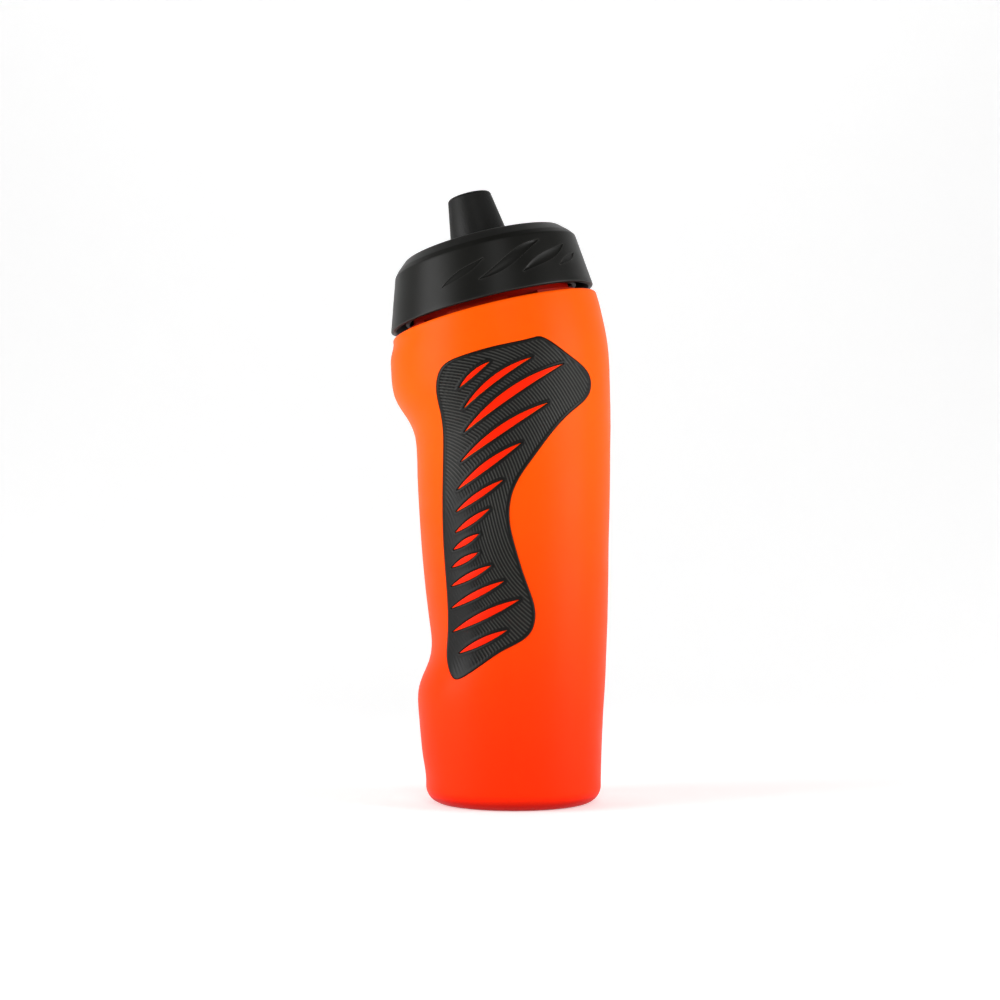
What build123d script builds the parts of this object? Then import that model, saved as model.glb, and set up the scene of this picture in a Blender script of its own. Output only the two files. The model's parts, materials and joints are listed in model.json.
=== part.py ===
from build123d import *
import os
from math import cos, radians, sin, sqrt

# A sports squeeze bottle: a soft blow-moulded body with a rubber grip panel let
# into each side, and a screw lid with a soft drinking nozzle and a slit valve.
# Millimetres, +Z up. The origin is the middle of the ring that the bottle stands
# on. -X is the front, where the finger waist is and where the lid leans to.

# Body -----------------------------------------------------------------------
WALL = 2.0  # moulded wall
BASE_EDGE_RADIUS = 6.0
SHOULDER_EDGE_RADIUS = 1.0
STANDING_RING_RADIUS = 21.0  # inner edge of the ring the bottle stands on
PUSH_UP_DEPTH = 3.0  # height of the dished base above the floor

# Cross-sections from the base up. Each is a front half-ellipse and a back
# half-ellipse of one width, in a plane that leans as the body leans:
# centre x, centre z, lean in degrees, front radius, back radius, half width
BODY_SECTIONS = [
    (-0.2, 0.0, 0.0, 30.0, 30.2, 30.0),
    (-0.4, 8.0, 0.0, 30.9, 30.8, 30.8),
    (-0.6, 16.0, 0.0, 31.8, 31.2, 31.5),
    (-0.8, 24.0, 0.0, 32.5, 31.7, 32.1),
    (-1.0, 32.0, 0.0, 33.0, 32.3, 32.7),
    (-1.2, 39.5, 0.0, 32.8, 33.0, 33.2),  # lower swell
    (-1.3, 44.5, 0.0, 31.2, 33.4, 33.5),
    (-1.4, 49.5, 0.0, 29.0, 33.7, 33.8),
    (-1.6, 55.0, 0.0, 27.8, 34.1, 34.2),  # foot of the finger waist
    (-1.8, 62.0, 0.0, 28.1, 34.6, 34.6),
    (-2.1, 70.0, 0.0, 28.9, 35.1, 35.1),
    (-2.4, 80.0, 0.0, 29.7, 35.6, 35.5),
    (-2.8, 90.0, 0.0, 30.2, 36.1, 35.9),
    (-3.1, 100.0, 0.0, 30.6, 36.7, 36.3),
    (-3.4, 110.0, 0.0, 30.9, 37.2, 36.7),
    (-3.7, 118.5, 0.0, 30.9, 37.6, 37.0),
    (-3.9, 125.5, 0.0, 31.0, 37.9, 37.3),
    (-4.0, 131.5, 1.6, 31.9, 38.1, 37.5),
    (-4.2, 137.5, 3.1, 34.2, 38.3, 37.8),
    (-4.5, 143.5, 4.5, 37.2, 38.5, 38.0),
    (-4.8, 150.0, 5.9, 38.8, 38.7, 38.2),
    (-5.3, 157.5, 8.0, 39.0, 38.6, 38.2),
    (-6.2, 164.5, 10.6, 38.3, 38.1, 37.8),
    (-7.4, 171.9, 13.6, 37.3, 37.2, 37.2),  # shoulder, under the lid
]

# Lid axis -------------------------------------------------------------------
LID_LEAN = 13.6  # degrees the lid's axis leans towards the front
RIM_X, RIM_Z = -8.0, 174.2  # middle of the lid's lower rim
SHOULDER_GAP = 2.4  # from the shoulder up to the lid's rim, along the axis

# Neck and thread, heights along the lid's axis from the rim ------------------
NECK_RADIUS = 28.3
MOUTH_RADIUS = 26.3
NECK_TOP = 15.0
NECK_SINK = 4.0  # how far the neck tube runs down into the shoulder
THREAD_LEAD = 10.0  # rise in one turn
THREAD_STARTS = 2
THREAD_PITCH = THREAD_LEAD / THREAD_STARTS
THREAD_HEIGHT = 1.2
THREAD_ROOT_WIDTH = 2.2
THREAD_CREST_WIDTH = 1.0
THREAD_SINK = 0.4  # root buried in the wall that carries it
NECK_THREAD_FOOT, NECK_THREAD_TURNS = 4.6, 0.75
LID_THREAD_FOOT, LID_THREAD_TURNS = 2.6, 0.6
BEAD_RADIUS, BEAD_LOW, BEAD_HIGH = 31.6, -1.9, -0.7
BEAD_COUNT, BEAD_SHARE = 6, 0.66  # separate lengths of bead, share of the turn

# Lid ------------------------------------------------------------------------
RIM_RADIUS = 37.0
TOP_SET_BACK = 2.0  # the lid's top sits this far behind the thread's axis
SKIRT_TOP, SKIRT_TOP_RADIUS = 18.6, 33.0
CREASE_HEIGHT, CREASE_RADIUS = 20.3, 31.6
DECK_HEIGHT, DECK_RADIUS = 23.4, 28.2
DECK_CROWN = 0.6  # the deck is domed by this much at the nozzle
DECK_WALL = 2.0
CEILING = DECK_HEIGHT - DECK_WALL
SKIRT_WALL = 1.8
LINER_CLEARANCE = 0.3  # thread crest to the wall that faces it
LINER_INNER = NECK_RADIUS + THREAD_HEIGHT + LINER_CLEARANCE
LINER_OUTER = LINER_INNER + 1.3
LINER_FOOT, LINER_GAP_TOP = 1.4, 12.0
GASKET_THICKNESS = 1.5
GASKET_INNER, GASKET_OUTER = 24.9, 29.5
GASKET_CLEARANCE = 0.1  # gasket to the seat that turns over it
GASKET_TOP = NECK_TOP + GASKET_THICKNESS
GASKET_SEAT = GASKET_TOP + GASKET_CLEARANCE
SEAT_INNER = 24.4  # inside this the lid is hollow up to the deck
MOAT_INNER, MOAT_OUTER, MOAT_DEPTH = 12.8, 14.2, 0.9  # groove round the nozzle

# Nozzle, its core and the valve, heights from the rim -------------------------
NOZZLE_SET_BACK = 1.5  # the nozzle sits this far behind the thread's axis
NOZZLE_FLANGE_RADIUS, NOZZLE_FLANGE_THICKNESS = 12.5, 0.5
NOZZLE_FILLET_POINT = (10.9, 25.3)  # on the hollow curve from flange to sleeve
NOZZLE_BASE_RADIUS, NOZZLE_BASE_HEIGHT = 10.2, 27.0
NOZZLE_TIP_RADIUS, NOZZLE_TIP_HEIGHT = 7.9, 41.8
NOZZLE_TIP_ROUND = 1.4
TIP_HOLE_RADIUS = 4.4
CORE_OUTER, CORE_INNER, CORE_TOP = 5.8, 4.1, 37.0
CORE_FLANGE_RADIUS, CORE_FLANGE_THICKNESS = 10.0, 1.2
DECK_HOLE_RADIUS = 6.2
VALVE_RIM_THICKNESS = 1.4
VALVE_WEB_THICKNESS = 0.5
WINDOW_HALF = 2.45  # half the side of the square window in the web
PETAL_BASE = 2.7  # from the valve's middle to the line that a petal bends on
PETAL_THICKNESS = 0.6
PETAL_LIFT = 0.05  # petal above the web
SLIT_WIDTH = 0.16
PETAL_COUNT = 4

# Grip panels ----------------------------------------------------------------
POCKET_DEPTH = 1.0
GRIP_PROUD = 0.35  # panel face stands this far out of the body
GRIP_FLOOR_GAP = 0.05
GRIP_EDGE_GAP = 0.15
REACH = 60.0  # from the middle plane to well outside the body
TIP_STRETCH = 3.0  # a slit's tip reaches past its leaf's by this many gaps

# Panel edge seen from the side, as x and z, clockwise from the top
GRIP_OUTLINE = [
    (6.9, 160.2),
    (-6.4, 156.9),
    (-18.6, 153.6),
    (-24.6, 150.6),
    (-26.9, 143.9),
    (-25.3, 134.2),
    (-24.6, 119.8),
    (-24.5, 90.0),
    (-23.2, 58.4),
    (-22.8, 48.2),
    (-20.4, 44.6),
    (-17.0, 45.8),
    (-3.3, 55.1),
    (5.0, 60.6),
    (6.7, 66.1),
    (4.0, 76.9),
    (-0.2, 90.0),
    (-2.0, 99.0),
    (-0.5, 109.0),
    (5.9, 119.3),
    (19.5, 135.7),
    (25.6, 142.6),
    (25.6, 148.1),
    (18.4, 154.6),
    (11.0, 159.4),
]

# Leaves of the body that stand up in each panel's slits, flush with the body:
# lower tip, upper tip, width, bow of the middle line
LEAVES = [
    ((-18.8, 143.1), (-8.8, 151.4), 1.6, 0.5),
    ((-17.4, 136.0), (5.5, 153.1), 2.1, 1.6),
    ((-17.2, 128.1), (16.2, 151.4), 2.9, 1.8),
    ((-18.4, 118.2), (11.0, 138.0), 2.6, 1.2),
    ((-19.6, 108.8), (1.9, 124.3), 2.4, 0.7),
    ((-20.0, 101.4), (-4.3, 111.8), 2.0, 0.3),
    ((-20.3, 94.4), (-8.8, 102.2), 1.9, 0.1),
    ((-20.9, 88.6), (-12.4, 93.8), 1.8, 0.1),
    ((-21.4, 82.6), (-12.7, 87.5), 1.8, 0.1),
    ((-21.7, 76.2), (-8.3, 83.2), 2.0, 0.1),
    ((-21.7, 68.7), (-3.9, 78.0), 2.1, 0.3),
    ((-21.2, 60.7), (1.3, 71.8), 2.5, 0.5),
    ((-19.0, 53.5), (-2.9, 61.5), 2.1, 0.3),
]


def leaning_plane(x, z, lean):
    """A plane across the bottle at (x, 0, z) whose back edge is raised by lean."""
    c, s = cos(radians(lean)), sin(radians(lean))
    return Plane(origin=(x, 0, z), x_dir=(c, 0, s), z_dir=(-s, 0, c))


LID_PLANE = leaning_plane(RIM_X, RIM_Z, LID_LEAN)
NOZZLE_PLANE = leaning_plane(
    RIM_X + NOZZLE_SET_BACK * cos(radians(LID_LEAN)),
    RIM_Z + NOZZLE_SET_BACK * sin(radians(LID_LEAN)),
    LID_LEAN,
)


def body_form(inset):
    """The body's form, drawn in by inset all round."""
    faces = []
    for x, z, lean, front, back, side in BODY_SECTIONS:
        front_half = EllipticalCenterArc((0, 0), front - inset, side - inset, 90, arc_size=180)
        back_half = EllipticalCenterArc((0, 0), back - inset, side - inset, 270, arc_size=180)
        faces.append(leaning_plane(x, z, lean) * make_face([front_half, back_half]))
    return loft(faces)


def ring(outer, inner, low, high):
    """A plain ring about the local Z axis."""
    height = high - low
    solid = Cylinder(outer, height) - Cylinder(inner, height)
    return Pos(0, 0, (low + high) / 2) * solid


def thread(root_radius, foot, turns, outward):
    """The starts of a thread about the local Z axis, on a wall of root_radius."""
    sign = 1 if outward else -1
    base = root_radius - sign * THREAD_SINK
    crest = root_radius + sign * THREAD_HEIGHT
    slope = (THREAD_ROOT_WIDTH - THREAD_CREST_WIDTH) / 2 / THREAD_HEIGHT
    wide = THREAD_ROOT_WIDTH / 2 + slope * THREAD_SINK
    narrow = THREAD_CREST_WIDTH / 2
    path = Helix(THREAD_LEAD, THREAD_LEAD * turns, root_radius)
    profile = make_face(
        Polyline(
            (base, 0, -wide),
            (crest, 0, -narrow),
            (crest, 0, narrow),
            (base, 0, wide),
            close=True,
        )
    )
    one = Pos(0, 0, foot) * sweep(profile, path, is_frenet=True)
    return [Rot(0, 0, start * 360 / THREAD_STARTS) * one for start in range(THREAD_STARTS)]


def neck():
    """The threaded neck, in the lid's frame."""
    foot = -SHOULDER_GAP - NECK_SINK
    neck_solid = Pos(0, 0, (NECK_TOP + foot) / 2) * Cylinder(NECK_RADIUS, NECK_TOP - foot)
    for start in thread(NECK_RADIUS, NECK_THREAD_FOOT, NECK_THREAD_TURNS, True):
        neck_solid += start
    step = 360 / BEAD_COUNT
    bead = ring(BEAD_RADIUS, NECK_RADIUS - THREAD_SINK, BEAD_LOW, BEAD_HIGH)
    for i in range(BEAD_COUNT):
        wedge = wedge_sector(RIM_RADIUS, step * BEAD_SHARE, i * step)
        neck_solid += bead & wedge
    return neck_solid


def wedge_sector(radius, span, start):
    """An upright sector prism that covers span degrees from start."""
    a, b = radians(start), radians(start + span)
    m = (a + b) / 2
    edge = [
        Line((0, 0), (radius * cos(a), radius * sin(a))),
        ThreePointArc(
            (radius * cos(a), radius * sin(a)),
            (radius * cos(m), radius * sin(m)),
            (radius * cos(b), radius * sin(b)),
        ),
        Line((radius * cos(b), radius * sin(b)), (0, 0)),
    ]
    return extrude(make_face(edge), NECK_TOP, both=True)


def panel_prism(edge_gap):
    """The panel's outline, drawn in by edge_gap and run across the near half."""
    points = []
    count = len(GRIP_OUTLINE)
    for i, (x, z) in enumerate(GRIP_OUTLINE):
        x_before, z_before = GRIP_OUTLINE[i - 1]
        x_after, z_after = GRIP_OUTLINE[(i + 1) % count]
        along_x, along_z = x_after - x_before, z_after - z_before
        length = sqrt(along_x**2 + along_z**2)
        points.append((x - along_z / length * edge_gap, z + along_x / length * edge_gap))
    outline = make_face(Spline(*points, periodic=True))
    return extrude(Plane.XZ * outline, REACH)


def leaf_prism(lower, upper, width, bow, grow=0.0):
    """One leaf: two arcs that share their tips. grow widens it all round."""
    (x0, z0), (x1, z1) = lower, upper
    length = sqrt((x1 - x0) ** 2 + (z1 - z0) ** 2)
    along = Vector((x1 - x0) / length, (z1 - z0) / length)
    across = Vector(-along.Y, along.X)
    tip_grow = grow * TIP_STRETCH
    start = Vector(x0, z0) - along * tip_grow
    end = Vector(x1, z1) + along * tip_grow
    middle = (start + end) * 0.5
    half = width / 2 + grow
    sides = [
        ThreePointArc(start, middle + across * (bow + half), end),
        ThreePointArc(start, middle + across * (bow - half), end),
    ]
    return extrude(Plane.XZ * make_face(sides), REACH)


def near_grip():
    """The panel on the -Y side, with its slits."""
    back_face = body_form(POCKET_DEPTH - GRIP_FLOOR_GAP)
    panel = (body_form(-GRIP_PROUD) & panel_prism(GRIP_EDGE_GAP)) - back_face
    for leaf in LEAVES:
        panel -= leaf_prism(*leaf, grow=GRIP_EDGE_GAP)
    return panel


def near_pocket():
    """The recess for the near panel. The body's own leaves stand up in it."""
    prism = panel_prism(0)
    for leaf in LEAVES:
        prism -= leaf_prism(*leaf)
    return prism - body_form(POCKET_DEPTH)


def cavity():
    """The space inside the wall, up through the mouth."""
    tall = 2 * RIM_Z
    space = body_form(WALL) & Pos(0, 0, WALL + tall / 2) * Box(tall, tall, tall)
    under_shoulder = Pos(0, 0, -SHOULDER_GAP - WALL - tall / 2) * Box(tall, tall, tall)
    space &= LID_PLANE * under_shoulder
    space -= push_up(WALL)
    mouth_foot = -SHOULDER_GAP - 2 * WALL
    mouth_middle = (NECK_TOP + mouth_foot) / 2
    mouth = Pos(0, 0, mouth_middle) * Cylinder(MOUTH_RADIUS, NECK_TOP - mouth_foot + 1)
    return space + LID_PLANE * mouth


def push_up(grow):
    """The dome under the base, grown by grow to shape the floor inside."""
    radius = (STANDING_RING_RADIUS**2 + PUSH_UP_DEPTH**2) / (2 * PUSH_UP_DEPTH)
    return Pos(0, 0, PUSH_UP_DEPTH - radius) * Sphere(radius + grow)


def bottle_body():
    """The blown body: one wall, two pockets for the panels, base and neck."""
    solid = body_form(0)
    base_edges = solid.faces().sort_by(Axis.Z)[0].edges()
    solid = fillet(base_edges, BASE_EDGE_RADIUS)
    shoulder_edges = solid.faces().sort_by(Axis.Z)[-1].edges()
    solid = fillet(shoulder_edges, SHOULDER_EDGE_RADIUS)
    solid += LID_PLANE * neck()
    pocket = near_pocket()
    solid -= pocket
    solid -= mirror(pocket, Plane.XZ)
    solid -= push_up(0)
    return solid - cavity()


def skewed(low_radius, low, low_shift, high_radius, high, high_shift):
    """A cone frustum in the lid's frame, its two ends set back on their own."""
    ends = [
        Pos(low_shift, 0, low) * Circle(low_radius),
        Pos(high_shift, 0, high) * Circle(high_radius),
    ]
    return loft(ends, ruled=True)


def lid():
    """The lid in its own frame: outer skirt, deck and threaded inner skirt."""
    back = TOP_SET_BACK
    crown = DECK_HEIGHT + DECK_CROWN
    solid = skewed(RIM_RADIUS, 0, 0, SKIRT_TOP_RADIUS, SKIRT_TOP, back)
    solid += skewed(SKIRT_TOP_RADIUS, SKIRT_TOP, back, CREASE_RADIUS, CREASE_HEIGHT, back)
    solid += skewed(CREASE_RADIUS, CREASE_HEIGHT, back, DECK_RADIUS, DECK_HEIGHT, back)
    solid += skewed(DECK_RADIUS, DECK_HEIGHT, back, MOAT_OUTER, crown, NOZZLE_SET_BACK)
    share = LINER_GAP_TOP / SKIRT_TOP
    gap_top_radius = RIM_RADIUS + (SKIRT_TOP_RADIUS - RIM_RADIUS) * share - SKIRT_WALL
    gap = skewed(RIM_RADIUS - SKIRT_WALL, 0, 0, gap_top_radius, LINER_GAP_TOP, back * share)
    solid -= gap - ring(LINER_OUTER, LINER_INNER, LINER_FOOT, LINER_GAP_TOP)
    solid -= Pos(0, 0, GASKET_SEAT / 2) * Cylinder(LINER_INNER, GASKET_SEAT)
    solid -= Pos(0, 0, CEILING / 2) * Cylinder(SEAT_INNER, CEILING)
    to_nozzle = Pos(NOZZLE_SET_BACK, 0, 0)
    solid -= to_nozzle * Pos(0, 0, crown / 2) * Cylinder(DECK_HOLE_RADIUS, 2 * crown)
    solid -= to_nozzle * ring(MOAT_OUTER, MOAT_INNER, crown - MOAT_DEPTH, crown)
    for start in thread(LINER_INNER, LID_THREAD_FOOT, LID_THREAD_TURNS, False):
        solid += start
    return solid


def nozzle_core():
    """The stiff tube that comes up through the deck and carries the nozzle."""
    foot = CEILING - CORE_FLANGE_THICKNESS
    tube = ring(CORE_OUTER, CORE_INNER, foot, CORE_TOP)
    return tube + ring(CORE_FLANGE_RADIUS, CORE_INNER, foot, CEILING)


def nozzle():
    """The soft sleeve over the core, with a lip that holds the valve down."""
    foot = DECK_HEIGHT + DECK_CROWN
    flange_top = foot + NOZZLE_FLANGE_THICKNESS
    step = CORE_TOP + VALVE_RIM_THICKNESS
    side = [
        Line((CORE_OUTER, foot), (NOZZLE_FLANGE_RADIUS, foot)),
        Line((NOZZLE_FLANGE_RADIUS, foot), (NOZZLE_FLANGE_RADIUS, flange_top)),
        ThreePointArc(
            (NOZZLE_FLANGE_RADIUS, flange_top),
            NOZZLE_FILLET_POINT,
            (NOZZLE_BASE_RADIUS, NOZZLE_BASE_HEIGHT),
        ),
        Line(
            (NOZZLE_BASE_RADIUS, NOZZLE_BASE_HEIGHT),
            (NOZZLE_TIP_RADIUS, NOZZLE_TIP_HEIGHT - NOZZLE_TIP_ROUND),
        ),
        RadiusArc(
            (NOZZLE_TIP_RADIUS, NOZZLE_TIP_HEIGHT - NOZZLE_TIP_ROUND),
            (NOZZLE_TIP_RADIUS - NOZZLE_TIP_ROUND, NOZZLE_TIP_HEIGHT),
            -NOZZLE_TIP_ROUND,
        ),
        Polyline(
            (NOZZLE_TIP_RADIUS - NOZZLE_TIP_ROUND, NOZZLE_TIP_HEIGHT),
            (TIP_HOLE_RADIUS, NOZZLE_TIP_HEIGHT),
            (TIP_HOLE_RADIUS, step),
            (CORE_OUTER, step),
            (CORE_OUTER, foot),
        ),
    ]
    return revolve(Plane.XZ * make_face(side), Axis.Z)


def valve_ring():
    """The valve's rim and the thin web that its petals bend from."""
    rim = ring(CORE_OUTER, TIP_HOLE_RADIUS, CORE_TOP, CORE_TOP + VALVE_RIM_THICKNESS)
    web = Pos(0, 0, CORE_TOP + VALVE_WEB_THICKNESS / 2) * Cylinder(
        (TIP_HOLE_RADIUS + CORE_OUTER) / 2, VALVE_WEB_THICKNESS
    )
    window = Box(2 * WINDOW_HALF, 2 * WINDOW_HALF, 2 * NOZZLE_TIP_HEIGHT)
    return rim + web - window


def valve_petal(index):
    """One of the three-cornered petals between the two crossed slits."""
    edge = SLIT_WIDTH / 2 * sqrt(2)
    corner = PETAL_BASE - edge
    outline = make_face(
        Polyline((edge, 0), (PETAL_BASE, corner), (PETAL_BASE, -corner), close=True)
    )
    foot = CORE_TOP + VALVE_WEB_THICKNESS + PETAL_LIFT
    petal = Pos(0, 0, foot) * extrude(outline, PETAL_THICKNESS)
    return Rot(0, 0, index * 360 / PETAL_COUNT) * petal


def save(name, shape):
    export_step(shape, f"parts/{name}.step")


def main():
    os.makedirs("parts", exist_ok=True)
    left = near_grip()
    gasket = ring(GASKET_OUTER, GASKET_INNER, NECK_TOP, GASKET_TOP)
    save("bottle_body", bottle_body())
    save("left_grip", left)
    save("right_grip", mirror(left, Plane.XZ))
    save("lid", LID_PLANE * lid())
    save("lid_gasket", LID_PLANE * gasket)
    save("nozzle_core", NOZZLE_PLANE * nozzle_core())
    save("nozzle", NOZZLE_PLANE * nozzle())
    save("valve_ring", NOZZLE_PLANE * valve_ring())
    for index in range(PETAL_COUNT):
        save(f"valve_petal_{index + 1}", NOZZLE_PLANE * valve_petal(index))


main()
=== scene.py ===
import json
import math

import bmesh
import bpy
import numpy as np
from mathutils import Matrix, Vector, geometry
from mathutils.bvhtree import BVHTree
from mathutils.kdtree import KDTree


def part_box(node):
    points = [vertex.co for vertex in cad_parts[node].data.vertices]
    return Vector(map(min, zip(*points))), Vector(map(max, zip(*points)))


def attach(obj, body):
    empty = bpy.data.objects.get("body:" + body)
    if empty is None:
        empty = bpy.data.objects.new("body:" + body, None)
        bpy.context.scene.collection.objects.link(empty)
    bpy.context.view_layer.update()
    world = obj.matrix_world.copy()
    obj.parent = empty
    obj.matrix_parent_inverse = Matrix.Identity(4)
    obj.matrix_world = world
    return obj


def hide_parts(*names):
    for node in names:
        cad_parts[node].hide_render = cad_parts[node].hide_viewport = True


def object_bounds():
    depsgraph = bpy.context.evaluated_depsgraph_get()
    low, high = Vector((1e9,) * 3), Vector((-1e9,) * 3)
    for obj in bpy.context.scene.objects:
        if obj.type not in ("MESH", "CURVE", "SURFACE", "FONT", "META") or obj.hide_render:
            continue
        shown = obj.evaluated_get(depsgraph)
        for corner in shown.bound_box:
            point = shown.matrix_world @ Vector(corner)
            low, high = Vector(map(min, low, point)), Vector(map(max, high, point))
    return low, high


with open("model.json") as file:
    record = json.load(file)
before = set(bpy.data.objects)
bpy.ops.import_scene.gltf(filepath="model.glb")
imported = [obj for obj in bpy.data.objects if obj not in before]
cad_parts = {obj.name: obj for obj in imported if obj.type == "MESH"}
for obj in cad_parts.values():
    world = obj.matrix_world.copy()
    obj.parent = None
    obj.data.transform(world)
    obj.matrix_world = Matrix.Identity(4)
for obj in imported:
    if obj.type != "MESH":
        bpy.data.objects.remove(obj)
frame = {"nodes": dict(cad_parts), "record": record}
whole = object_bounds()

# --- Body ---------------------------------------------------------------------
# The bottle itself: one blow moulding of soft, slightly cloudy polyethylene with
# a satin mould finish. The two halves of its mould meet in a faint line down the
# front and the back.
MM = 0.001
BODY_COLOUR = (1.0, 0.092, 0.001, 1.0)
BODY_FOOT_COLOUR = (1.0, 0.027, 0.0005, 1.0)
# The dark red painted as shade wherever the body is sheltered.
BODY_PAINTED_SHADE_COLOUR = (0.42, 0.004, 0.0005, 1.0)
BODY_ROUGHNESS = 0.42
SEAM_WIDTH, SEAM_HEIGHT = 0.35 * MM, 0.12 * MM
PAINTED_SHADE_REACH = 12.0 * MM
EDGE_REACH = 0.7 * MM


def moulded_surface():
    """The look that every moulded piece shares: fine grain, faint clouding, rubbed edges."""
    group = bpy.data.node_groups.new("moulded surface", "ShaderNodeTree")
    for label, kind, start in (
        ("Base Color", "NodeSocketColor", (0.5, 0.5, 0.5, 1.0)),
        ("Rubbed Color", "NodeSocketColor", (0.6, 0.6, 0.6, 1.0)),
        ("Roughness", "NodeSocketFloat", 0.5),
        ("Grain per Metre", "NodeSocketFloat", 4000.0),
        ("Clouding", "NodeSocketFloat", 0.05),
        ("Wear", "NodeSocketFloat", 0.3),
    ):
        group.interface.new_socket(label, in_out="INPUT", socket_type=kind).default_value = start
    for label, kind in (
        ("Base Color", "NodeSocketColor"),
        ("Roughness", "NodeSocketFloat"),
        ("Height", "NodeSocketFloat"),
    ):
        group.interface.new_socket(label, in_out="OUTPUT", socket_type=kind)
    nodes, links = group.nodes, group.links
    given = nodes.new("NodeGroupInput")
    result = nodes.new("NodeGroupOutput")
    position = nodes.new("ShaderNodeTexCoord")

    grain = nodes.new("ShaderNodeTexNoise")
    grain.inputs["Detail"].default_value = 3.0
    links.new(position.outputs["Object"], grain.inputs["Vector"])
    links.new(given.outputs["Grain per Metre"], grain.inputs["Scale"])
    links.new(grain.outputs["Fac"], result.inputs["Height"])

    cloud = nodes.new("ShaderNodeTexNoise")
    cloud.inputs["Scale"].default_value = 55.0
    cloud.inputs["Detail"].default_value = 4.0
    links.new(position.outputs["Object"], cloud.inputs["Vector"])
    shift = nodes.new("ShaderNodeMath")
    shift.operation = "SUBTRACT"
    shift.inputs[1].default_value = 0.5
    links.new(cloud.outputs["Fac"], shift.inputs[0])
    lift = nodes.new("ShaderNodeMath")
    lift.operation = "MULTIPLY_ADD"
    lift.inputs[2].default_value = 1.0
    links.new(shift.outputs[0], lift.inputs[0])
    links.new(given.outputs["Clouding"], lift.inputs[1])
    tint = nodes.new("ShaderNodeVectorMath")
    tint.operation = "SCALE"
    links.new(given.outputs["Base Color"], tint.inputs[0])
    links.new(lift.outputs[0], tint.inputs["Scale"])

    thin = nodes.new("ShaderNodeAmbientOcclusion")
    thin.samples = 6
    thin.inside = True
    thin.only_local = True
    thin.inputs["Distance"].default_value = EDGE_REACH
    edge = nodes.new("ShaderNodeMapRange")
    edge.inputs["From Min"].default_value = 0.95
    edge.inputs["From Max"].default_value = 0.55
    links.new(thin.outputs["AO"], edge.inputs["Value"])
    patchy = nodes.new("ShaderNodeMath")
    patchy.operation = "MULTIPLY"
    links.new(edge.outputs["Result"], patchy.inputs[0])
    links.new(given.outputs["Wear"], patchy.inputs[1])
    rubbed = nodes.new("ShaderNodeMix")
    rubbed.data_type = "RGBA"
    links.new(patchy.outputs[0], rubbed.inputs["Factor"])
    links.new(tint.outputs["Vector"], rubbed.inputs["A"])
    links.new(given.outputs["Rubbed Color"], rubbed.inputs["B"])
    links.new(rubbed.outputs["Result"], result.inputs["Base Color"])

    sheen = nodes.new("ShaderNodeMath")
    sheen.operation = "MULTIPLY_ADD"
    sheen.inputs[1].default_value = 0.18
    links.new(shift.outputs[0], sheen.inputs[0])
    links.new(given.outputs["Roughness"], sheen.inputs[2])
    links.new(sheen.outputs[0], result.inputs["Roughness"])
    return group


SURFACE = moulded_surface()


def moulded(name, colour, rubbed, roughness, grain, grain_depth, clouding, wear):
    """A material on the shared surface, with its surface group, its shader and its bump node."""
    made = bpy.data.materials.new(name)
    made.use_nodes = True
    nodes, links = made.node_tree.nodes, made.node_tree.links
    shader = nodes["Principled BSDF"]
    surface = nodes.new("ShaderNodeGroup")
    surface.node_tree = SURFACE
    surface.inputs["Base Color"].default_value = colour
    surface.inputs["Rubbed Color"].default_value = rubbed
    surface.inputs["Roughness"].default_value = roughness
    surface.inputs["Grain per Metre"].default_value = grain
    surface.inputs["Clouding"].default_value = clouding
    surface.inputs["Wear"].default_value = wear
    bump = nodes.new("ShaderNodeBump")
    bump.inputs["Strength"].default_value = 1.0
    bump.inputs["Distance"].default_value = grain_depth
    links.new(surface.outputs["Base Color"], shader.inputs["Base Color"])
    links.new(surface.outputs["Roughness"], shader.inputs["Roughness"])
    links.new(surface.outputs["Height"], bump.inputs["Height"])
    links.new(bump.outputs["Normal"], shader.inputs["Normal"])
    return made, surface, shader, bump


def paint(node, material):
    """Gives a CAD node its material."""
    for holder in frame["nodes"][node].material_slots:
        holder.material = material


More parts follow.
